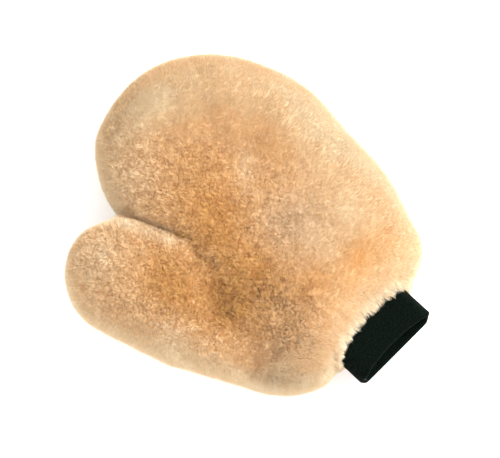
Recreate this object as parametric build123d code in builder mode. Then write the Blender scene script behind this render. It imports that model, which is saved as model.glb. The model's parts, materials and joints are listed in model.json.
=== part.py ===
"""Sheepskin wash mitt with a thumb pocket and a knitted wrist cuff, lying palm up.

Frame: +Z up, +Y from the wrist to the fingertips, the thumb on the -X side.
Origin: the middle of the bounding box, on the surface that the mitt lies on.

Two sheepskins are sewn together round their edges with the wool outside. The skin is
called hide here, and the wool is a thick layer all round it. The palm side is the
front and the other side is the back. The pocket between the hides is open at the
wrist, where a tube of knitted ribbing is sewn on, folded back inside itself over a
band of elastic.
"""

from build123d import *
import os
from math import cos, radians, tan

# Layers, from the surface up (mm)
wool_back = 18  # wool under the back hide, pressed a little by the mitt's weight
hide = 2
pocket_height = 14  # the empty pocket, held open by the stiffness of the hides
wool_front = 22
wool_edge = 20  # wool standing out sideways past the edge of the hides

pocket_bottom = wool_back + hide
pocket_top = pocket_bottom + pocket_height
hide_top = pocket_top + hide
thickness = hide_top + wool_front
seam_height = pocket_bottom + pocket_height / 2  # the hides meet half way up the pocket

# Outer outline of the wool: a line pulled tight round these circles (x, y, radius)
fingertips = (30, 62, 78)
knuckles = (33, 40, 86)
heel = (55, -56, 54)
thumb_heel = (-20, -71, 51)
thumb_root = (-59, -7, 47)
thumb_tip = (-72, 36, 47)
hand_outline = [fingertips, knuckles, heel, thumb_heel]
thumb_outline = [thumb_tip, thumb_root, thumb_heel]

# Rounding of each layer's lower and upper edges
wool_rounding = (22, 30)
hide_rounding = (8, 8)
pocket_rounding = (6.5, 6.5)

# Wrist and cuff
cuff_x = 19
cuff_width = 70
cuff_height = hide_top - wool_back
cuff_end = -140
wrist = -104  # the cuff is sewn to the hides here
neck_start = -80  # the hides narrow to the cuff's section between here and the wrist
knit = 1.2  # one layer of ribbing
elastic_space = 0.8  # between the two layers
elastic = 0.7
elastic_length = 20
cuff_wall = 2 * knit + elastic_space
hem_rounding = 1.1

# Thread
pocket_seam = 1.0  # ridge of thread inside the edge where the two hides meet
side_seam = 1.4  # ridge inside the cuff where the ribbing is joined into a tube
wrist_seam = 1.0  # ring of thread inside the cuff, joining it to the hides
wrist_seam_length = 2
wrist_seam_distance = 4  # from the wrist to the ring

# Folds. Each body keeps a gap to its neighbour at the fold's axis, and from there the
# faces lean apart by half the largest angle, so that the wool has room to fold.
gap = 0.3
finger_fold = 80  # the fingers fold across here, just above the thumb's crotch
finger_angle = 60
thumb_fold = (-35, 42)  # the thumb's fold meets the hand here
thumb_direction = 20  # degrees from +Y towards -X, square to the thumb's fold
thumb_angle = 50
cuff_angle = 25  # the cuff bends this far both up and down at the wrist
cuff_clearance = 0.4
cuff_lap = 3  # the opening in the wool starts this far inside the wrist

# Construction solids reach past the mitt by these amounts
reach = 300
above_fold = thickness
below_fold = -thickness

# The plane of each fold looks along its axis, with its x axis pointing across the fold
finger_plane = Plane((0, finger_fold, seam_height), (0, 1, 0), (1, 0, 0))
thumb_plane = Plane((*thumb_fold, seam_height), (0, 1, 0), (1, 0, 0))
thumb_plane = thumb_plane.rotated((0, 0, thumb_direction))
cuff_plane = Plane((cuff_x, wrist, seam_height), (0, -1, 0), (-1, 0, 0))


def pulled_tight(circles, inset, bottom, top, rounding):
    """A slab with the outline of the circles, inset all round, its edges rounded."""
    with BuildPart() as slab:
        with BuildSketch(Plane.XY.offset(bottom)):
            for x, y, radius in circles:
                with Locations((x, y)):
                    Circle(radius - inset)
            make_hull()
        extrude(amount=top - bottom)
        if rounding:
            fillet(slab.faces().sort_by(Axis.Z)[0].edges(), rounding[0])
            fillet(slab.faces().sort_by(Axis.Z)[-1].edges(), rounding[1])
    return slab.part


def wrist_tube(inset, start, end):
    """A solid with the cuff's section, inset all round, from start to end along Y."""
    with BuildPart() as tube:
        with BuildSketch(Plane((cuff_x, start, seam_height), (1, 0, 0), (0, 1, 0))):
            SlotOverall(cuff_width - 2 * inset, cuff_height - 2 * inset)
        extrude(amount=end - start)
    return tube.part


def mitt_slab(outlines, inset, bottom, top, rounding=None):
    """The slabs of several outlines in one."""
    with BuildPart() as slab:
        for circles in outlines:
            add(pulled_tight(circles, inset, bottom, top, rounding))
    return slab.part


def across_fold(plane, side, angle, both_ways=False):
    """The space past a fold's far face (side 1), or past its near face (side -1)."""
    lean = tan(radians(angle / 2))
    upper = gap + lean * above_fold
    lower = gap - lean * below_fold if both_ways else gap
    with BuildPart() as space:
        with BuildSketch(plane):
            with BuildLine():
                Polyline(
                    (side * lower, below_fold),
                    (side * gap, 0),
                    (side * upper, above_fold),
                    (reach, above_fold),
                    (reach, below_fold),
                    close=True,
                )
            make_face()
        extrude(amount=reach, both=True)
    return space.part


def across_thumb_fold(side):
    """As across_fold, but only on the thumb's side of the plane along the crotch."""
    with BuildPart() as space:
        add(across_fold(thumb_plane, side, thumb_angle))
        with BuildSketch(thumb_plane.offset(-side * gap)):
            Rectangle(2 * reach, 2 * reach)
        extrude(amount=-2 * reach, mode=Mode.INTERSECT)
    return space.part


# The space that belongs to each body, and the space that its neighbour keeps clear of
beyond_fingers = across_fold(finger_plane, 1, finger_angle)
beyond_thumb = across_thumb_fold(1)
beyond_wrist = across_fold(cuff_plane, 1, cuff_angle, both_ways=True)
short_of_fingers = across_fold(finger_plane, -1, finger_angle)
short_of_thumb = across_thumb_fold(-1)
short_of_wrist = across_fold(cuff_plane, -1, cuff_angle, both_ways=True)

# The wool opens out round the wrist, so that the cuff can bend
half_height = cuff_height / 2 / cos(radians(cuff_angle)) + cuff_clearance
spread = half_height + reach * tan(radians(cuff_angle))
with BuildPart() as cuff_swing:
    with BuildSketch(cuff_plane):
        with BuildLine():
            Polyline(
                (-cuff_lap, -half_height),
                (0, -half_height),
                (reach, -spread),
                (reach, spread),
                (0, half_height),
                (-cuff_lap, half_height),
                close=True,
            )
        make_face()
    extrude(amount=cuff_width / 2 + cuff_clearance, both=True)


def layers(outlines):
    """The wool, the hide and the seam's thread, before the folds divide them."""
    with BuildPart() as hide_outside:
        add(mitt_slab(outlines, wool_edge, wool_back, hide_top, hide_rounding))
        add(wrist_tube(0, wrist, neck_start))

    pocket_edge = wool_edge + hide
    with BuildPart() as pocket:
        add(mitt_slab(outlines, pocket_edge, pocket_bottom, pocket_top, pocket_rounding))
        add(wrist_tube(hide, cuff_end, neck_start))

    with BuildPart() as wool:
        add(mitt_slab(outlines, 0, 0, thickness, wool_rounding))
        add(hide_outside.part, mode=Mode.SUBTRACT)
        add(cuff_swing.part, mode=Mode.SUBTRACT)

    with BuildPart() as hides:
        add(hide_outside.part)
        add(pocket.part, mode=Mode.SUBTRACT)
        add(short_of_wrist, mode=Mode.SUBTRACT)

    # The two overlocked edges make a ridge all round the inside of the pocket
    bottom = seam_height - pocket_seam / 2
    top = seam_height + pocket_seam / 2
    with BuildPart() as seam:
        add(mitt_slab(outlines, pocket_edge, bottom, top))
        add(mitt_slab(outlines, pocket_edge + pocket_seam, bottom, top), mode=Mode.SUBTRACT)
        add(wrist_tube(hide, cuff_end, neck_start), mode=Mode.SUBTRACT)

    return wool.part, hides.part, seam.part


def body_piece(layer, within, without):
    """The part of a layer that belongs to one body."""
    with BuildPart() as piece:
        add(layer)
        for space in within:
            add(space, mode=Mode.INTERSECT)
        for space in without:
            add(space, mode=Mode.SUBTRACT)
    return piece.part


def half(layer, keep):
    """The front or back of a layer, divided at the height of the seam."""
    with BuildPart() as piece:
        add(layer)
        split(bisect_by=Plane.XY.offset(seam_height), keep=keep)
    return piece.part


# The thumb is made alone, because the hand's rounded edge would jut into it
whole_mitt = layers([hand_outline, thumb_outline])
thumb_alone = layers([thumb_outline])
bodies = {
    "palm": (whole_mitt, [], [short_of_fingers, short_of_thumb]),
    "finger": (whole_mitt, [beyond_fingers], [short_of_thumb]),
    "thumb": (thumb_alone, [beyond_thumb], []),
}
pieces = {}
for body, (body_layers, within, without) in bodies.items():
    wool, hides, seam = [body_piece(layer, within, without) for layer in body_layers]
    pieces[f"{body}_wool_front"] = half(wool, Keep.TOP)
    pieces[f"{body}_wool_back"] = half(wool, Keep.BOTTOM)
    pieces[f"{body}_hide_front"] = half(hides, Keep.TOP)
    pieces[f"{body}_hide_back"] = half(hides, Keep.BOTTOM)
    pieces[f"{body}_seam_thread"] = seam

# ---- Cuff ----
hem_fold = cuff_end + knit
with BuildPart() as space_for_elastic:
    add(wrist_tube(knit, hem_fold, wrist))
    add(wrist_tube(knit + elastic_space, hem_fold, wrist), mode=Mode.SUBTRACT)

with BuildPart() as cuff_knit:
    add(wrist_tube(0, cuff_end, wrist))
    add(wrist_tube(cuff_wall, cuff_end, wrist), mode=Mode.SUBTRACT)
    fillet(cuff_knit.faces().sort_by(Axis.Y)[0].edges(), hem_rounding)
    add(space_for_elastic.part, mode=Mode.SUBTRACT)
    add(beyond_wrist, mode=Mode.INTERSECT)
pieces["cuff_knit"] = cuff_knit.part

slack = (elastic_space - elastic) / 2
elastic_start = hem_fold + slack
elastic_end = elastic_start + elastic_length
with BuildPart() as cuff_elastic:
    add(wrist_tube(knit + slack, elastic_start, elastic_end))
    add(wrist_tube(knit + slack + elastic, elastic_start, elastic_end), mode=Mode.SUBTRACT)
pieces["cuff_elastic"] = cuff_elastic.part

ring_end = wrist - wrist_seam_distance
ring_start = ring_end - wrist_seam_length
with BuildPart() as wrist_seam_thread:
    add(wrist_tube(cuff_wall, ring_start, ring_end))
    add(wrist_tube(cuff_wall + wrist_seam, ring_start, ring_end), mode=Mode.SUBTRACT)
pieces["wrist_seam_thread"] = wrist_seam_thread.part

inside_edge = cuff_x - cuff_width / 2 + cuff_wall
with BuildPart() as cuff_side_seam:
    add(wrist_tube(cuff_wall, hem_fold, ring_start))
    with BuildSketch(Plane.XY.offset(seam_height - side_seam / 2)):
        with Locations((inside_edge, wrist)):
            Rectangle(2 * side_seam, reach)
    extrude(amount=side_seam, mode=Mode.INTERSECT)
pieces["cuff_side_seam"] = cuff_side_seam.part

os.makedirs("parts", exist_ok=True)
for name, piece in pieces.items():
    piece.label = name
    export_step(piece, f"parts/{name}.step")
    print(name, len(piece.solids()), round(piece.volume), piece.bounding_box())
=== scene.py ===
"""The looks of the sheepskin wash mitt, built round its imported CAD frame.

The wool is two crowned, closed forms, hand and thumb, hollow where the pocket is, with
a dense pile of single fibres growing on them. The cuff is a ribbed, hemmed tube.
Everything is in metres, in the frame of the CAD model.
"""

import json
from math import cos, pi, radians, sin

import bmesh
import bpy
import numpy as np
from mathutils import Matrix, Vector
from mathutils.bvhtree import BVHTree


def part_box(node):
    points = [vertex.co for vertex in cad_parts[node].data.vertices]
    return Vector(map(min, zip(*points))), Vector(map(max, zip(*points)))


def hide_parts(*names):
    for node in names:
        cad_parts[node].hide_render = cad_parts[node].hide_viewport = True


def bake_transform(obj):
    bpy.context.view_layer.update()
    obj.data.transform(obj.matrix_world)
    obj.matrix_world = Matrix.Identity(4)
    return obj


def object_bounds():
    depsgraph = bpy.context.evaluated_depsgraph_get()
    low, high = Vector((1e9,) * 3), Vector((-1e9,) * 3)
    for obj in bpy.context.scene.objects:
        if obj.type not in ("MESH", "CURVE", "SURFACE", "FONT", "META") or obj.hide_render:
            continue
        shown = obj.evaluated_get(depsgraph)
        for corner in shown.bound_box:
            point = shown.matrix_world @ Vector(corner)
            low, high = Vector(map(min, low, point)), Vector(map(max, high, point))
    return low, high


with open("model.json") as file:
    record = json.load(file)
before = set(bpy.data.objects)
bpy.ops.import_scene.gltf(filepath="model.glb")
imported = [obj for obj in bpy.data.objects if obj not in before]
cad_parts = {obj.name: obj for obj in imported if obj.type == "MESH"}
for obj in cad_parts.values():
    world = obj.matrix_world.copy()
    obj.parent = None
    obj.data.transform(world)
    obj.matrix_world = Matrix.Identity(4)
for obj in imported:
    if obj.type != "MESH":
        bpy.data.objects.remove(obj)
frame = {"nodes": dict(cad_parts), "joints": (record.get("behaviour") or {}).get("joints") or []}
cad_low, cad_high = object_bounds()

MM = 0.001
joints = {joint["name"]: joint for joint in frame["joints"]}

# ---------------------------------------------------------------- camera, floor, light

AZIMUTH = radians(-45)
ELEVATION = radians(68)
CAMERA_DISTANCE = 0.988
LOOK_AT = Vector((0.0103, -0.0047, 0.027))
TOWARDS_CAMERA = Vector((
    sin(AZIMUTH) * cos(ELEVATION), -cos(AZIMUTH) * cos(ELEVATION), sin(ELEVATION)
))
PICTURE_RIGHT = Vector((cos(AZIMUTH), sin(AZIMUTH), 0))
PICTURE_UP = Vector((-sin(AZIMUTH), cos(AZIMUTH), 0))


def make_camera():
    data = bpy.data.cameras.new("camera")
    data.lens = 100
    data.sensor_width = 36
    camera = bpy.data.objects.new("camera", data)
    camera.location = LOOK_AT + TOWARDS_CAMERA * CAMERA_DISTANCE
    camera.rotation_mode = "QUATERNION"
    camera.rotation_quaternion = (-TOWARDS_CAMERA).to_track_quat("-Z", "Y")
    bpy.context.scene.collection.objects.link(camera)
    bpy.context.scene.camera = camera


def area_light(name, right, up, height, size, power, colour=(1, 1, 1)):
    """A soft square light, placed as the picture sees it and turned to the mitt."""
    data = bpy.data.lights.new(name, "AREA")
    data.size = size
    data.energy = power
    data.color = colour
    light = bpy.data.objects.new(name, data)
    light.location = LOOK_AT + PICTURE_RIGHT * right + PICTURE_UP * up + Vector((0, 0, height))
    aim = LOOK_AT - light.location
    light.rotation_mode = "QUATERNION"
    light.rotation_quaternion = aim.to_track_quat("-Z", "Y")
    bpy.context.scene.collection.objects.link(light)


def make_floor_and_light():
    bpy.ops.mesh.primitive_plane_add(size=12, location=(0, 0, 0))
    floor = bpy.context.object
    floor.name = "floor"
    material = bpy.data.materials.new("floor_white")
    material.use_nodes = True
    shader = material.node_tree.nodes["Principled BSDF"]
    shader.inputs["Base Color"].default_value = (0.93, 0.93, 0.93, 1)
    shader.inputs["Roughness"].default_value = 0.9
    shader.inputs["Emission Color"].default_value = (1, 1, 1, 1)
    shader.inputs["Emission Strength"].default_value = 0.3
    floor.data.materials.append(material)
    world = bpy.data.worlds.new("studio")
    world.use_nodes = True
    background = world.node_tree.nodes["Background"]
    background.inputs["Color"].default_value = (1, 1, 1, 1)
    background.inputs["Strength"].default_value = 1.0
    bpy.context.scene.world = world
    area_light("key", 1.0, 0.5, 0.98, 0.7, 29.5)
    area_light("fill", 0.1, -0.95, 0.5, 0.8, 4.5, (1, 0.96, 0.92))
    bpy.context.scene.view_settings.view_transform = "Standard"


# ------------------------------------------------------------------------ mesh helpers


def new_object(name, vertices, faces, smooth=True):
    mesh = bpy.data.meshes.new(name)
    mesh.from_pydata(vertices, [], faces)
    mesh.update()
    if smooth:
        mesh.shade_smooth()
    thing = bpy.data.objects.new(name, mesh)
    bpy.context.scene.collection.objects.link(thing)
    return thing


def points_of(mesh):
    flat = np.empty(len(mesh.vertices) * 3, np.float32)
    mesh.vertices.foreach_get("co", flat)
    return flat.reshape(-1, 3).astype(float)


def normals_of(mesh):
    flat = np.empty(len(mesh.vertices) * 3, np.float32)
    mesh.vertex_normals.foreach_get("vector", flat)
    return flat.reshape(-1, 3).astype(float)


def set_points(mesh, points):
    mesh.vertices.foreach_set("co", points.astype(np.float32).ravel())
    mesh.update()


def apply_modifiers(thing):
    """Keeps the mesh that the object's modifiers make, and drops the modifiers."""
    depsgraph = bpy.context.evaluated_depsgraph_get()
    made = bpy.data.meshes.new_from_object(thing.evaluated_get(depsgraph))
    thing.modifiers.clear()
    thing.data = made


def voxel_remesh(thing, size):
    remesh = thing.modifiers.new("remesh", "REMESH")
    remesh.mode = "VOXEL"
    remesh.voxel_size = size
    apply_modifiers(thing)


def subtract(thing, cutter):
    cut = thing.modifiers.new("cut", "BOOLEAN")
    cut.operation = "DIFFERENCE"
    cut.solver = "EXACT"
    cut.object = cutter
    apply_modifiers(thing)


def unit(vectors):
    return vectors / np.maximum(np.linalg.norm(vectors, axis=1, keepdims=True), 1e-12)


def smooth_step(low, high, value):
    t = np.clip((value - low) / (high - low), 0, 1)
    return t * t * (3 - 2 * t)


# ------------------------------------------------------------------- shape of the mitt

# The outline is pulled tight round circles (x, y, radius), in millimetres
FINGERTIPS = (30, 59.5, 79.5)
KNUCKLES = (33, 35.5, 86)
HEEL = (49, -60.5, 54.5)
THUMB_HEEL = (-21, -68.5, 52.5)
THUMB_ROOT = (-57.5, -13, 46.5)
THUMB_TIP = (-72.5, 32, 45.5)
HAND_OUTLINE = [FINGERTIPS, KNUCKLES, HEEL, THUMB_HEEL]
THUMB_OUTLINE = [THUMB_TIP, THUMB_ROOT, THUMB_HEEL]

PILE = 2.6  # mm of the wool, at its tips, that the fibres stand for
FORM_BOTTOM = 1.0
LOWER_ROUNDING = (26, 20)  # sideways and up, of the wool's lower edge
UPPER_ROUNDING = (40, 30)
WOOL_EDGE = 20  # wool standing out past the edge of the hides
HIDE_BOTTOM, HIDE_TOP = 18, 36
HIDE_ROUNDING = (8, 8)
TOP = cad_high.z / MM
cuff_low, cuff_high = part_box("cuff_knit")
wrist_y = joints["cuff_bend"]["pos_m"][1]
CUFF_X = (cuff_low.x + cuff_high.x) / 2
CUFF_Z = (cuff_low.z + cuff_high.z) / 2

# The valley between the thumb's mound and the palm, from the crotch to the heel: x, y,
# depth, and its reach to the thumb's side and to the palm's side
VALLEY = np.array([
    (-62, 82, 13, 10, 3),
    (-50, 66, 7, 6, 3),
    (-45, 46, 5, 3, 4),
    (-38, 29, 6, 3, 5),
    (-30, 10, 4, 5, 8),
    (-40, -12, 6, 10, 15),
    (-52, -38, 9, 15, 17),
    (-54, -68, 2, 14, 14),
], float)


# Where the outline swells or is drawn in from the circles: x, y, reach, how far
SWELLS = [
    (98, -80, 18, -4.0), (110, -36, 24, 2.8), (-20, 121, 18, 2.2), (108, 84, 22, 1.2),
    (-60, 76, 12, -3.5), (-18, -121, 9, -1.8), (-34, -124, 12, 1.5), (86, -100, 14, 1.5),
]

# The wool's edge over the cuff is hollow: its middle, half-width and depth
WRIST_HOLLOW = (13, 42, 5.8)


def rounded_slab(name, circles, inset, bottom, top, lower, upper):
    """A closed slab round the circles. lower and upper are (sideways, up) roundings."""
    profile = []
    for quarter in np.linspace(0, pi / 2, 10):
        out, rise = 1 - sin(quarter), 1 - cos(quarter)
        profile.append((bottom + lower[1] * rise, lower[0] * out))
        profile.append((top - upper[1] * rise, upper[0] * out))
    form = bmesh.new()
    for x, y, radius in circles:
        for height, drawn_in in profile:
            ring = radius - inset - drawn_in
            for angle in np.linspace(0, 2 * pi, 96, endpoint=False):
                form.verts.new((
                    (x + ring * cos(angle)) * MM, (y + ring * sin(angle)) * MM, height * MM
                ))
    made = bmesh.ops.convex_hull(form, input=form.verts)
    loose = [v for v in set(made["geom_interior"] + made["geom_unused"]) if v.is_valid]
    bmesh.ops.delete(form, geom=[v for v in loose if isinstance(v, bmesh.types.BMVert)])
    bmesh.ops.recalc_face_normals(form, faces=form.faces)
    mesh = bpy.data.meshes.new(name)
    form.to_mesh(mesh)
    form.free()
    slab = bpy.data.objects.new(name, mesh)
    bpy.context.scene.collection.objects.link(slab)
    return slab


def valley_at(x, y):
    """How far the valley lowers the surface at each point, in millimetres."""
    lowered = np.zeros(len(x))
    place = np.stack([x, y], 1)
    for start, end in zip(VALLEY, VALLEY[1:]):
        step = end[:2] - start[:2]
        along = np.clip(((place - start[:2]) @ step) / (step @ step), 0, 1)
        off = place - (start[:2] + along[:, None] * step)
        depth, thumb_reach, palm_reach = (start + along[:, None] * (end - start)).T[2:]
        palm_side = step[0] * off[:, 1] - step[1] * off[:, 0] > 0
        reach = np.where(palm_side, palm_reach, thumb_reach)
        bowl = np.exp(-(off ** 2).sum(1) / reach ** 2)
        lowered = np.maximum(lowered, depth * bowl)
    return lowered


def hashed(cells, salt):
    """A repeatable random number from 0 to 1 for each row of whole numbers."""
    mixed = (
        cells[..., 0] * 73856093 ^ cells[..., 1] * 19349663 ^ cells[..., 2] * 83492791 ^ salt
    ) & 0xFFFFFFFF
    for _ in range(2):
        mixed = ((mixed ^ (mixed >> 15)) * 0x2C1B3C6D) & 0xFFFFFFFF
        mixed = mixed ^ (mixed >> 12)
    return (mixed & 0xFFFFFF) / 0xFFFFFF


def soft_noise(points, size, salt=5):
    """Smooth noise from -1 to 1 with features of about this size."""
    scaled = points / size
    base = np.floor(scaled).astype(np.int64)
    part = scaled - base
    part = part * part * (3 - 2 * part)
    total = np.zeros(len(points))
    for step in np.ndindex(2, 2, 2):
        corner = np.array(step)
        weight = np.prod(np.where(corner == 1, part, 1 - part), axis=1)
        total += weight * hashed(base + corner, salt)
    return total * 2 - 1


# --------------------------------------------------------------------- colour of wool

# What the dye and the bleach leave in the wool, as linear RGB; the deep orange and the brown also
# stand in as painted shade where the patches put them
CREAM = (0.96, 0.80, 0.55)
PALE = (0.86, 0.73, 0.50)
PEACH = (0.90, 0.66, 0.38)
GOLD = (0.84, 0.53, 0.24)
ORANGE = (0.79, 0.46, 0.17)
DEEP_DYE_AND_SHADE = (0.74, 0.40, 0.13)
PINKISH = (0.82, 0.62, 0.43)
YELLOW = (0.94, 0.64, 0.27)
BROWN_DYE_AND_SHADE = (0.68, 0.34, 0.11)
# The side colour is partly the pile seen from its side and partly painted light on the rims.
SIDE = (0.94, 0.80, 0.60)  # of pile seen from its side

# Patches on the palm side: middle (x, y), reach along x and y, turn in degrees, colour
# and strength. Millimetres. The deep orange and brown patches, along the valley and on
# the slopes beside it, are partly dye and partly painted shade.
PATCHES = [
    ((-64, 2), (24, 46), 0, ORANGE, 0.85),
    ((-66, -14), (14, 22), 0, DEEP_DYE_AND_SHADE, 0.5),
    ((0, 20), (38, 60), -10, GOLD, 0.9),
    ((-12, 4), (24, 36), 0, DEEP_DYE_AND_SHADE, 0.8),
    ((58, 26), (32, 24), 0, GOLD, 0.8),
    ((-44, -38), (20, 30), 0, BROWN_DYE_AND_SHADE, 0.9),
    ((-14, -36), (20, 26), 0, DEEP_DYE_AND_SHADE, 0.75),
    ((34, 22), (8, 19), -42, CREAM, 0.6),
    ((28, -32), (28, 24), -45, PINKISH, 0.9),
    ((38, -80), (22, 11), 0, YELLOW, 0.9),
    ((4, -72), (16, 12), 0, ORANGE, 0.6),
    ((100, -10), (32, 90), 8, PALE, 0.9),
    ((62, -52), (16, 16), 0, CREAM, 0.7),
    ((14, -113), (44, 10), 8, CREAM, 0.8),
    ((20, 106), (64, 24), -16, PALE, 0.85),
    ((-34, 84), (22, 30), 20, CREAM, 0.6),
    ((-84, 44), (26, 22), 20, CREAM, 0.6),
    ((-60, -100), (26, 12), 20, CREAM, 0.6),
    ((-92, -34), (14, 18), 0, CREAM, 0.8),
    ((30, -57), (9, 20), -10, CREAM, 0.6),
]


def crease_offset(place):
    """Distance from the crease where the thumb meets the fingers: below 0 on the thumb."""
    best = np.full(len(place), 99.0)
    for start, end in zip(VALLEY[1:4], VALLEY[2:5]):
        step = end[:2] - start[:2]
        away = place[:, :2] - start[:2]
        along = np.clip((away @ step) / (step @ step), 0, 1)
        off = away - along[:, None] * step
        side = np.sign(step[0] * away[:, 1] - step[1] * away[:, 0])
        distance = np.hypot(off[:, 0], off[:, 1])
        best = np.where(distance < np.abs(best), side * distance, best)
    return best


def wool_colour(points, normals):
    """The colour of the wool at each point, as linear RGB, with painted shade down the crease and in
    the deep orange and brown patches, and painted light on the rims and along the thumb's edge by the
    crease.
    """
    place = points / MM
    colour = np.tile(np.array(PEACH), (len(points), 1))
    top = smooth_step(0.0, 0.5, normals[:, 2])
    for (x, y), (reach_x, reach_y), turn, shade, strength in PATCHES:
        a = radians(turn)
        dx, dy = place[:, 0] - x, place[:, 1] - y
        u = (dx * cos(a) + dy * sin(a)) / reach_x
        v = (dy * cos(a) - dx * sin(a)) / reach_y
        weight = (strength * np.exp(-(u * u + v * v)) * top)[:, None]
        colour += (np.array(shade) - colour) * weight
    off = crease_offset(place)
    # Paler along the thumb's edge by the crease: partly the pile seen from its side, partly painted
    # light.
    pale = smooth_step(1, 3, -off) * (1 - smooth_step(6, 16, -off))
    pale *= 0.9 * top * smooth_step(6, 26, place[:, 1])
    colour += (np.array(CREAM) - colour) * pale[:, None]
    # Painted shade: a thin dark line down the crease between the thumb and the fingers.
    line = (1 - smooth_step(0.3, 1.8, np.abs(off))) * top
    colour *= 1 - line[:, None] * np.array((0.18, 0.36, 0.5))
    # Paler where the wool faces sideways: partly the pile seen from its side, partly painted light on
    # the rims.
    rim = 1 - smooth_step(0.2, 0.93, normals[:, 2])
    colour += (np.array(SIDE) - colour) * (0.75 * rim)[:, None]
    mottle = soft_noise(points, 14 * MM, 71) * 0.06 + soft_noise(points, 5 * MM, 83) * 0.05
    return colour * (1 + mottle[:, None] * np.array((0.6, 1.0, 1.5)))


# ------------------------------------------------------------------------- wool forms

FORM_VOXEL = 1.0 * MM
NECK_CLEARANCE = 1.0 * MM
NECK_START = -0.08  # the cuff's space begins here, inside the wool
NECK_SEEN = -0.09  # and past here the pile keeps clear of it


def neck():
    """The space of the cuff where it passes through the wool."""
    half_width = (cuff_high.x - cuff_low.x) / 2 + NECK_CLEARANCE
    radius = (cuff_high.z - cuff_low.z) / 2 + NECK_CLEARANCE
    outline = []
    for angle in np.linspace(0, 2 * pi, 48, endpoint=False):
        shift = (half_width - radius) * (1 if cos(angle) >= 0 else -1)
        outline.append((CUFF_X + shift + radius * cos(angle), CUFF_Z + radius * sin(angle)))
    count = len(outline)
    vertices = [(x, y, z) for y in (NECK_START, cuff_low.y) for x, z in outline]
    faces = [(k, (k + 1) % count, count + (k + 1) % count, count + k) for k in range(count)]
    faces += [tuple(range(count))[::-1], tuple(range(count, 2 * count))]
    return new_object("neck", vertices, faces, smooth=False)


def hide_space(name, circles):
    """The space that the hides and the pocket between them take up."""
    return rounded_slab(
        name, circles, WOOL_EDGE, HIDE_BOTTOM, HIDE_TOP, HIDE_ROUNDING, HIDE_ROUNDING
    )


def inner_space():
    """What the hides and the cuff take out of the wool, as one closed form."""
    spaces = [
        hide_space("pocket", HAND_OUTLINE),
        hide_space("thumb_pocket", THUMB_OUTLINE),
        neck(),
    ]
    whole = bmesh.new()
    for space in spaces:
        whole.from_mesh(space.data)
        bpy.data.objects.remove(space)
    bmesh.ops.recalc_face_normals(whole, faces=whole.faces)
    mesh = bpy.data.meshes.new("inner_space")
    whole.to_mesh(mesh)
    whole.free()
    thing = bpy.data.objects.new("inner_space", mesh)
    bpy.context.scene.collection.objects.link(thing)
    voxel_remesh(thing, 2 * MM)
    return thing


def neck_distance(points):
    """How far each point is from the cuff's section, in the plane across the cuff."""
    straight = (cuff_high.x - cuff_low.x - cuff_high.z + cuff_low.z) / 2
    dx = np.maximum(np.abs(points[:, 0] - CUFF_X) - straight, 0)
    off = np.hypot(dx, points[:, 2] - CUFF_Z) - (cuff_high.z - cuff_low.z) / 2
    return np.where(points[:, 1] < NECK_SEEN, off, 1.0)


def wool_form(name, circles):
    """One mound of wool without its fibres: crowned, with the valley pressed in."""
    form = rounded_slab(
        name, circles, PILE, FORM_BOTTOM, TOP - PILE, LOWER_ROUNDING, UPPER_ROUNDING
    )
    voxel_remesh(form, FORM_VOXEL)
    points = points_of(form.data)
    height = smooth_step(22 * MM, 50 * MM, points[:, 2])
    x, y = points[:, 0] / MM, points[:, 1] / MM
    points[:, 2] -= valley_at(x, y) * height * MM
    points[:, 2] += soft_noise(points, 38 * MM, 7) * 2.0 * MM * height
    normals = normals_of(form.data)
    for middle_x, middle_y, reach, amount in SWELLS:
        near = np.exp(-((x - middle_x) ** 2 + (y - middle_y) ** 2) / reach ** 2)
        points[:, :2] += normals[:, :2] * (near * amount * MM)[:, None]
    middle, half, deep = WRIST_HOLLOW
    hollow = np.clip(1 - ((x - middle) / half) ** 2, 0, 1) ** 1.5 * smooth_step(80, 106, -y)
    points[:, 1] += hollow * smooth_step(20, 34, points[:, 2] / MM) * deep * MM
    set_points(form.data, points)
    return form


def curliness(points, normals):
    """How far the wool parts in curls: 1 round the thumb and the middle of the palm, and
    little at the right side, the fingers, the wrist and wherever the wool faces sideways."""
    x, y = points[:, 0] / MM, points[:, 1] / MM
    across = smooth_step(-10, 95, 0.8 * x - 0.5 * y + 0.25 * np.maximum(y, 0))
    fingers = smooth_step(35, 88, 0.75 * x + 0.66 * y)
    wrist = smooth_step(80, 108, -0.5 * x - 0.87 * y)
    calm = 1 - (1 - 0.95 * across) * (1 - 0.88 * fingers) * (1 - 0.85 * wrist)
    return (1 - calm) * (0.15 + 0.85 * smooth_step(0.45, 0.9, normals[:, 2]))


def tufts(points, size):
    """The middle of the tuft at each point, and 1 along the tufts' edges, 0 inside."""
    warp = np.stack([soft_noise(points, 1.7 * size, k) for k in (301, 302, 303)], 1)
    place = points / size + 0.55 * warp
    base = np.floor(place).astype(np.int64)
    nearest = np.full(len(points), 9.0)
    second = np.full(len(points), 9.0)
    middle = np.zeros_like(points)
    for step in np.ndindex(3, 3, 3):
        cell = base + np.array(step) - 1
        seat = cell + np.stack([hashed(cell, k) for k in (311, 312, 313)], -1)
        away = np.linalg.norm(seat - place, axis=1)
        closer = away < nearest
        second = np.where(closer, nearest, np.minimum(second, away))
        nearest = np.where(closer, away, nearest)
        middle[closer] = seat[closer]
    edge = 1 - smooth_step(0.0, 0.38, second - nearest)
    return points + (middle - place) * size, edge


TUFT = 2.9 * MM


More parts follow.
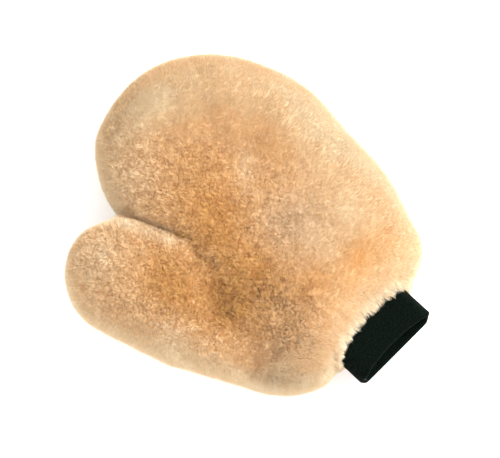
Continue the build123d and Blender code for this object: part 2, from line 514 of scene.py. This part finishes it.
def roughen(form):
    """Swells the tufts and presses the partings into a form's surface."""
    mesh = form.data
    points, normals = points_of(mesh), normals_of(mesh)
    curl = curliness(points, normals)
    swell = 0.75 * soft_noise(points, 10 * MM, 13) + 0.6 * soft_noise(points, 4.5 * MM, 17)
    swell = swell * (0.25 + 0.75 * curl) - 0.9 * curl * tufts(points, TUFT)[1]
    floor = smooth_step(0.5 * MM, 5 * MM, points[:, 2])
    moved = points + normals * (swell * MM * floor)[:, None]
    moved[:, 2] = np.maximum(moved[:, 2], 0.8 * MM)
    set_points(mesh, moved)


# -------------------------------------------------------------------------- fibres

# Every shade of a fibre, from bleached to deeply dyed and from dark to light
BLEACHED = np.array((0.92, 0.81, 0.62))
DYED = np.array((0.92, 0.53, 0.17))
SHADES = np.array([
    (BLEACHED + (DYED - BLEACHED) * dye) * light
    for dye in np.linspace(0, 1, 6) for light in np.geomspace(0.4, 1.0, 12)
])
FIBRES_PER_CM2 = 380
FIBRES_PER_PIECE = 38000
FIBRE_STEPS = 3
NAP = np.array((0.38, -0.26, 0))  # how the smooth pile leans


def fibre_materials():
    made = []
    for k, shade in enumerate(SHADES):
        material = bpy.data.materials.new(f"fibre_{k:02d}")
        material.use_nodes = True
        shader = material.node_tree.nodes["Principled BSDF"]
        shader.inputs["Base Color"].default_value = (*shade, 1)
        shader.inputs["Roughness"].default_value = 0.8
        shader.inputs["Specular IOR Level"].default_value = 0.15
        shader.inputs["Sheen Weight"].default_value = 0.2
        shader.inputs["Sheen Roughness"].default_value = 0.5
        made.append(material)
    return made


def scatter(form, per_cm2, seed):
    """Random points on a form with their smooth normals, fewer where it rests."""
    mesh = form.data
    mesh.calc_loop_triangles()
    corners = np.empty(len(mesh.loop_triangles) * 3, np.int32)
    mesh.loop_triangles.foreach_get("vertices", corners)
    corners = corners.reshape(-1, 3)
    points, normals = points_of(mesh), normals_of(mesh)
    a, b, c = (points[corners[:, k]] for k in range(3))
    cross = np.cross(b - a, c - a)
    areas = np.linalg.norm(cross, axis=1) / 2
    upward = cross[:, 2] / np.maximum(2 * areas, 1e-15)
    share = areas * (0.25 + 0.75 * smooth_step(-0.95, -0.6, upward))
    rng = np.random.default_rng(seed)
    count = int(share.sum() * 1e4 * per_cm2)
    chosen = rng.choice(len(areas), count, p=share / share.sum())
    r, s = rng.random(count), rng.random(count)
    over = r + s > 1
    r[over], s[over] = 1 - r[over], 1 - s[over]
    weights = np.stack([1 - r - s, r, s], 1)[:, :, None]
    at = (points[corners[chosen]] * weights).sum(1)
    facing = unit((normals[corners[chosen]] * weights).sum(1))
    return at, facing, rng


def inside(points, form, tree, depth):
    """True for each point that is more than depth inside the form's closed mesh."""
    box = points_of(form.data)
    low, high = box.min(0), box.max(0)
    near = np.nonzero(((points > low) & (points < high)).all(1))[0]
    result = np.zeros(len(points), bool)
    for k in near:
        close, normal, _, _ = tree.find_nearest(points[k])
        result[k] = (close - Vector(points[k])).dot(normal) > depth
    return result


def lean_field(points):
    """Which way the pile leans: it swirls from curl to curl."""
    broad = np.stack([soft_noise(points, 4.2 * MM, k) for k in (401, 402, 403)], 1)
    fine = np.stack([soft_noise(points, 1.8 * MM, k) for k in (411, 412, 413)], 1)
    return 0.75 * broad + 0.6 * fine


def grow_fibres(roots, normals, curl, middles, edges, rng):
    """The paths of the fibres, as an array of fibre, step and coordinate."""
    count = len(roots)
    curl = curl[:, None]
    spread = (0.03 + 0.17 * curl) * rng.normal(size=(count, 3))
    nap = NAP * (1 - curl) * smooth_step(0.3, 0.8, normals[:, 2:])
    direction = unit(normals + nap + lean_field(roots) * (0.04 + 0.76 * curl) + spread)
    inward = middles - roots
    inward -= normals * (inward * normals).sum(1, keepdims=True)
    uneven = 0.6 * soft_noise(roots, 3.4 * MM, 431) + 0.4 * rng.normal(size=count)
    length = np.clip(3.5 + uneven * (0.3 + 0.7 * curl[:, 0]), 1.8, 5.5)[:, None] * MM
    length *= 1 - 0.22 * curl * edges[:, None]
    direction = unit(direction * length + 0.6 * curl * inward)
    # Round the cuff the pile is longer, and hangs over it in points
    fringe = (1 - smooth_step(3 * MM, 9 * MM, neck_distance(roots)))[:, None]
    clump = np.stack([soft_noise(roots, 3.2 * MM, k) for k in (441, 442, 443)], 1)
    over = unit(0.6 * normals + np.array((0, -1, 0)) + 0.5 * clump)
    direction = unit(direction + (over - direction) * fringe)
    length *= 1 + fringe * (0.9 + 0.5 * clump[:, :1])
    tip = roots + direction * length
    bend = unit(np.cross(normals, rng.normal(size=(count, 3))))
    side = unit(np.cross(normals, bend))
    paths = np.empty((count, FIBRE_STEPS + 1, 3))
    phase = rng.random((count, 1)) * 2 * pi
    for k in range(FIBRE_STEPS + 1):
        t = k / FIBRE_STEPS
        knee = roots + normals * length * 0.5
        line = roots * (1 - t) ** 2 + knee * 2 * t * (1 - t) + tip * t * t
        wave = 0.3 * MM * np.sin(pi * min(t, 0.75))
        paths[:, k] = line + wave * (bend * np.cos(phase + 4 * t) + side * np.sin(phase + 4 * t))
    paths[:, 0] = roots - normals * 0.4 * MM
    paths[:, :, 2] = np.maximum(paths[:, :, 2], 0.3 * MM)
    return paths


def fibre_shades(paths, normals, curl, edges, rng):
    """The number of the shade of each stretch of each fibre."""
    count, steps = paths.shape[0], paths.shape[1] - 1
    tint = wool_colour(paths[:, -1], normals)
    # Painted shade: fibres darker towards the partings between the tufts.
    tint *= 1 - (curl * edges)[:, None] * np.array((0.09, 0.17, 0.27))
    tint *= 1 + (0.006 + 0.024 * curl[:, None]) * rng.normal(size=(count, 1))
    lightness = np.linspace(0.86, 1.05, steps)
    indices = np.empty((count, steps), np.int32)
    for k in range(steps):
        wanted = tint * lightness[k] + 0.01 * rng.normal(size=(count, 3))
        indices[:, k] = (wanted @ SHADES.T - (SHADES ** 2).sum(1) / 2).argmax(1)
    return indices


def fibre_mesh(name, paths, normals, indices, rng, materials):
    """Flat, tapered ribbons along the paths, with a shade for each stretch of each."""
    count, steps = indices.shape
    along = unit(paths[:, -1] - paths[:, 0])
    across = unit(np.cross(along, normals)) + 0.5 * rng.normal(size=(count, 3))
    across = unit(across - along * (across * along).sum(1, keepdims=True))
    width = (0.085 + 0.025 * rng.random(count))[:, None] * MM
    tapers = (1.0, 1.0, 0.8)
    per = 2 * steps + 1
    points = np.empty((count, per, 3))
    for k in range(steps):
        points[:, 2 * k] = paths[:, k] - across * width * tapers[k]
        points[:, 2 * k + 1] = paths[:, k] + across * width * tapers[k]
    points[:, -1] = paths[:, -1]
    first = (np.arange(count) * per)[:, None]
    rungs = [first + np.array([2 * k, 2 * k + 1, 2 * k + 3, 2 * k + 2]) for k in range(steps - 1)]
    last = first + np.array([2 * steps - 2, 2 * steps - 1, 2 * steps])
    loops = np.concatenate([*rungs, last], axis=1).ravel()
    sizes = np.tile([4] * (steps - 1) + [3], count)
    mesh = bpy.data.meshes.new(name)
    mesh.vertices.add(count * per)
    mesh.vertices.foreach_set("co", points.astype(np.float32).ravel())
    mesh.loops.add(len(loops))
    mesh.loops.foreach_set("vertex_index", loops.astype(np.int32))
    mesh.polygons.add(len(sizes))
    starts = np.concatenate([[0], np.cumsum(sizes)[:-1]])
    mesh.polygons.foreach_set("loop_start", starts.astype(np.int32))
    for material in materials:
        mesh.materials.append(material)
    mesh.polygons.foreach_set("material_index", indices.ravel())
    mesh.update(calc_edges=True)
    mesh.shade_smooth()
    thing = bpy.data.objects.new(name, mesh)
    bpy.context.scene.collection.objects.link(thing)
    return thing


# ------------------------------------------------------------------------- materials


def node_material(name, roughness):
    material = bpy.data.materials.new(name)
    material.use_nodes = True
    nodes = material.node_tree.nodes
    shader = nodes["Principled BSDF"]
    shader.inputs["Roughness"].default_value = roughness
    return material, nodes, material.node_tree.links, shader


def noise_node(nodes, links, scale, detail=3):
    place = nodes.new("ShaderNodeTexCoord")
    noise = nodes.new("ShaderNodeTexNoise")
    noise.inputs["Scale"].default_value = scale
    noise.inputs["Detail"].default_value = detail
    links.new(place.outputs["Object"], noise.inputs["Vector"])
    return noise


def add_bump(nodes, links, shader, height, distance, strength=1.0):
    bump = nodes.new("ShaderNodeBump")
    bump.inputs["Strength"].default_value = strength
    bump.inputs["Distance"].default_value = distance
    links.new(height, bump.inputs["Height"])
    links.new(bump.outputs["Normal"], shader.inputs["Normal"])


def add_ramp(nodes, links, shader, amount, dark, light, ends=(0.0, 1.0)):
    """The base colour, from dark to light with the amount."""
    ramp = nodes.new("ShaderNodeValToRGB")
    for element, position, colour in zip(ramp.color_ramp.elements, ends, (dark, light)):
        element.position = position
        element.color = colour
    links.new(amount, ramp.inputs["Fac"])
    links.new(ramp.outputs["Color"], shader.inputs["Base Color"])


def wool_root_material():
    """The depth of the wool under the fibres' tips, coloured from the mesh with painted shade in the
    partings.
    """
    material, nodes, links, shader = node_material("wool_depth", 0.95)
    noise = noise_node(nodes, links, 900)
    colour = nodes.new("ShaderNodeVertexColor")
    colour.layer_name = "wool_colour"
    dark = nodes.new("ShaderNodeMix")
    dark.data_type = "RGBA"
    dark.blend_type = "MULTIPLY"
    dark.inputs["Factor"].default_value = 0.2
    links.new(colour.outputs["Color"], dark.inputs["A"])
    links.new(noise.outputs["Color"], dark.inputs["B"])
    links.new(dark.outputs["Result"], shader.inputs["Base Color"])
    add_bump(nodes, links, shader, noise.outputs["Fac"], 0.6 * MM, 0.6)
    return material


def hide_material():
    material, nodes, links, shader = node_material("suede", 0.9)
    noise = noise_node(nodes, links, 260)
    add_ramp(nodes, links, shader, noise.outputs["Fac"], (0.42, 0.30, 0.19, 1), (0.66, 0.52, 0.36, 1))
    add_bump(nodes, links, shader, noise.outputs["Fac"], 0.5 * MM)
    return material


def thread_material(name, dark, light):
    material, nodes, links, shader = node_material(name, 0.7)
    wave = nodes.new("ShaderNodeTexWave")
    wave.inputs["Scale"].default_value = 900
    place = nodes.new("ShaderNodeTexCoord")
    links.new(place.outputs["Object"], wave.inputs["Vector"])
    add_ramp(nodes, links, shader, wave.outputs["Fac"], dark, light)
    return material


def knit_material():
    """Black ribbing with a little green in it, and the stitches of each rib."""
    material, nodes, links, shader = node_material("rib_knit", 0.95)
    noise = noise_node(nodes, links, 1000)
    dark, light = (0.0006, 0.0022, 0.0012, 1), (0.0044, 0.0095, 0.0066, 1)
    add_ramp(nodes, links, shader, noise.outputs["Fac"], dark, light, (0.42, 0.66))
    shader.inputs["Specular IOR Level"].default_value = 0.05
    shader.inputs["Sheen Weight"].default_value = 0.006
    shader.inputs["Sheen Roughness"].default_value = 0.5
    place = nodes.new("ShaderNodeUVMap")
    place.uv_map = "knit"
    stitches = nodes.new("ShaderNodeTexWave")
    stitches.wave_type = "BANDS"
    stitches.bands_direction = "Y"
    stitches.inputs["Scale"].default_value = 12
    stitches.inputs["Distortion"].default_value = 1.5
    links.new(place.outputs["UV"], stitches.inputs["Vector"])
    both = nodes.new("ShaderNodeMath")
    both.operation = "ADD"
    links.new(stitches.outputs["Fac"], both.inputs[0])
    links.new(noise.outputs["Fac"], both.inputs[1])
    add_bump(nodes, links, shader, both.outputs["Value"], 0.3 * MM, 0.5)
    return material


# ------------------------------------------------------------------------------ cuff

LAYER = 1.2 * MM  # one layer of ribbing
ELASTIC_SPACE = 0.8 * MM  # between the two layers
RIBS = 64
RIB_RELIEF = 0.1 * MM
MOUTH_SET_BACK = 4.6 * MM  # of the upper layer's middle, from the lower layer's edge
HALF_WIDTH = (cuff_high.x - cuff_low.x) / 2
HALF_HEIGHT = (cuff_high.z - cuff_low.z) / 2


def section_points(count):
    """Points round the cuff's section with their outward directions and shares of turn."""
    straight = 2 * (HALF_WIDTH - HALF_HEIGHT)
    arc = pi * HALF_HEIGHT
    points = []
    for k in range(count):
        way = (k / count * 2 * (straight + arc)) % (2 * (straight + arc))
        if way < straight:
            at, out = (straight / 2 - way, HALF_HEIGHT), (0, 1)
        elif way < straight + arc:
            turn = pi / 2 + (way - straight) / HALF_HEIGHT
            out = (cos(turn), sin(turn))
            at = (-straight / 2 + out[0] * HALF_HEIGHT, out[1] * HALF_HEIGHT)
        elif way < 2 * straight + arc:
            at, out = (way - straight - arc - straight / 2, -HALF_HEIGHT), (0, -1)
        else:
            turn = -pi / 2 + (way - 2 * straight - arc) / HALF_HEIGHT
            out = (cos(turn), sin(turn))
            at = (straight / 2 + out[0] * HALF_HEIGHT, out[1] * HALF_HEIGHT)
        points.append((at, out))
    return points


def mouth_edge(x, z):
    """How far back the cuff's edge lies at a place on its section, in metres."""
    across = min(abs(x) / HALF_WIDTH, 1)
    upper = (1 + z / HALF_HEIGHT) / 2
    bow = MOUTH_SET_BACK * (1 - across ** 2.2) * upper ** 2
    corner = 2.2 * MM * max(0, (across - 0.86) / 0.14) ** 2
    return bow + corner


def tube_of(name, profile, round_count, relief):
    """A closed skin: the profile's (depth, along) points carried round the cuff.

    depth goes in from the outer face and along goes from the wrist, 0, to the edge, 1.
    """
    length = wrist_y - cuff_low.y
    section = section_points(round_count)
    vertices, faces, marks = [], [], []
    steps = len(profile)
    for k, ((x, z), (out_x, out_z)) in enumerate(section):
        rib = cos(2 * pi * RIBS * k / round_count)
        back = mouth_edge(x, z)
        for depth, along, face in profile:
            in_by = depth - face * relief * (rib - 1) / 2
            y = wrist_y - along * (length - back)
            vertices.append((CUFF_X + x - out_x * in_by, y, CUFF_Z + z - out_z * in_by))
    for k in range(round_count):
        for m in range(steps):
            a, b = k * steps + m, k * steps + (m + 1) % steps
            c, d = (k + 1) % round_count * steps + (m + 1) % steps, (k + 1) % round_count * steps + m
            faces.append((a, b, c, d))
            u, v = RIBS * k / round_count, m / steps * 26
            marks += [(u, v), (u, v + 26 / steps), (u + RIBS / round_count, v + 26 / steps),
                      (u + RIBS / round_count, v)]
    tube = new_object(name, vertices, faces)
    layer = tube.data.uv_layers.new(name="knit")
    layer.data.foreach_set("uv", np.array(marks, np.float32).ravel())
    form = bmesh.new()
    form.from_mesh(tube.data)
    bmesh.ops.recalc_face_normals(form, faces=form.faces)
    form.to_mesh(tube.data)
    form.free()
    return tube


def make_cuff(material):
    """The tube of ribbing, folded back inside itself at the mouth."""
    length = wrist_y - cuff_low.y
    wall = 2 * LAYER + ELASTIC_SPACE
    hem = wall / 2
    profile = [(0.0, t, 1) for t in np.linspace(0, 1 - hem / length, 36)]
    for turn in np.linspace(0, pi, 10)[1:-1]:
        profile.append((hem - hem * cos(turn), 1 - (hem - hem * sin(turn)) / length, 0))
    profile += [(wall, t, -1) for t in np.linspace(1 - hem / length, 0, 36)]
    profile += [(wall - LAYER, 0.0, 0)]
    gap = ELASTIC_SPACE / 2
    inner_turn = 1 - LAYER / length
    profile += [(wall - LAYER, inner_turn - gap / length, 0), (hem, inner_turn, 0)]
    profile += [(LAYER, inner_turn - gap / length, 0), (LAYER, 0.0, 0)]
    cuff = tube_of("cuff_ribbing", profile, RIBS * 5, RIB_RELIEF)
    cuff.data.materials.append(material)
    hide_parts("cuff_knit")
    return cuff


def make_elastic(material):
    low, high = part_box("cuff_elastic")
    length = wrist_y - cuff_low.y
    middle, half = LAYER + ELASTIC_SPACE / 2, 0.3 * MM
    start, end = (wrist_y - high.y) / length, (wrist_y - low.y) / length
    profile = [(middle - half, t, 0) for t in np.linspace(start, end, 8)]
    profile += [(middle + half, t, 0) for t in np.linspace(end, start, 8)]
    band = tube_of("cuff_elastic_band", profile, RIBS * 3, 0)
    band.data.materials.append(material)
    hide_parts("cuff_elastic")
    return band


# ------------------------------------------------------------------------------ placing


def bend_at_fold(piece):
    """Bakes the placing of a piece of the hand's or the thumb's wool into its mesh."""
    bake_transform(piece)


def bend_cuff(piece):
    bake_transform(piece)


# --------------------------------------------------------------------------- assembly

INSIDE_DEPTH = 1.0 * MM  # pile this deep inside the other form isn't grown
CUFF_DISTANCE = 0.4 * MM  # nor is pile nearer than this to the cuff


def surface_tree(form):
    corners = [v.co[:] for v in form.data.vertices]
    return BVHTree.FromPolygons(corners, [tuple(p.vertices) for p in form.data.polygons])


def grow_pile(name, form, other, tree, seed, shades):
    """The fibres on one form, in bunches from the wrist to the fingertips."""
    density = FIBRES_PER_CM2 / 1
    roots, facing, rng = scatter(form, density, seed)
    keep = ~inside(roots, other, tree, INSIDE_DEPTH) & (neck_distance(roots) > CUFF_DISTANCE)
    roots, facing = roots[keep], facing[keep]
    order = np.argsort(roots[:, 1])
    roots, facing = roots[order], facing[order]
    curl = curliness(roots, facing)
    middles, edges = tufts(roots, TUFT)
    paths = grow_fibres(roots, facing, curl, middles, edges, rng)
    indices = fibre_shades(paths, facing, curl, edges, rng)
    bunches = np.array_split(np.arange(len(roots)), -(-len(roots) // FIBRES_PER_PIECE))
    for k, bunch in enumerate(bunches):
        fibres = fibre_mesh(
            f"{name.replace('wool', 'fibres')}_{k + 1}",
            paths[bunch], facing[bunch], indices[bunch], rng, shades,
        )
        bend_at_fold(fibres)
    print(name, len(form.data.polygons), "faces", len(roots), "fibres", flush=True)


def finish_wool(form, cutter, material):
    """Cuts the pocket and the cuff's space out of a form and colours what is left, a little darker
    all over and darker in the partings between the tufts as painted shade under the fibres.
    """
    subtract(form, cutter)
    mesh = form.data
    mesh.shade_smooth()
    points = points_of(mesh)
    normals = normals_of(mesh)
    # Painted shade: darker in the partings between the tufts, where the fibres shade the wool.
    parting_shade = (curliness(points, normals) * tufts(points, TUFT)[1])[:, None]
    tint = wool_colour(points, normals) * (0.95 - parting_shade * np.array((0.2, 0.33, 0.45)))
    layer = mesh.color_attributes.new("wool_colour", "FLOAT_COLOR", "POINT")
    layer.data.foreach_set("color", np.c_[tint, np.ones(len(tint))].astype(np.float32).ravel())
    mesh.materials.clear()
    mesh.materials.append(material)
    bend_at_fold(form)


def make_wool():
    cutter = inner_space()
    forms = {
        "wool_hand": wool_form("wool_hand", HAND_OUTLINE),
        "wool_thumb": wool_form("wool_thumb", THUMB_OUTLINE),
    }
    trees = {}
    for name, form in forms.items():
        roughen(form)
        trees[name] = surface_tree(form)
    material = wool_root_material()
    shades = fibre_materials()
    for number, (name, form) in enumerate(forms.items()):
        other = "wool_thumb" if name == "wool_hand" else "wool_hand"
        grow_pile(name, form, forms[other], trees[other], 40 + number, shades)
    for name, form in forms.items():
        finish_wool(form, cutter, material)
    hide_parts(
        "palm_wool_front", "palm_wool_back", "finger_wool_front", "finger_wool_back",
    )
    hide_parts("thumb_wool_front", "thumb_wool_back")
    bpy.data.objects.remove(cutter)


def finish_hides_and_seams(thread):
    """The CAD nodes that stay: suede, pale thread, and black thread at the cuff."""
    suede = hide_material()
    black_thread = thread_material(
        "black_thread", (0.001, 0.002, 0.001, 1), (0.005, 0.008, 0.006, 1)
    )
    for node_name, node in frame["nodes"].items():
        if "hide" in node_name or "seam" in node_name:
            node.data.materials.clear()
            sewn = black_thread if node_name.startswith(("cuff", "wrist")) else thread
            node.data.materials.append(suede if "hide" in node_name else sewn)


make_camera()
make_floor_and_light()
make_wool()
thread = thread_material("thread", (0.55, 0.48, 0.38, 1), (0.80, 0.74, 0.62, 1))
for part in (make_cuff(knit_material()), make_elastic(thread)):
    bend_cuff(part)
finish_hides_and_seams(thread)
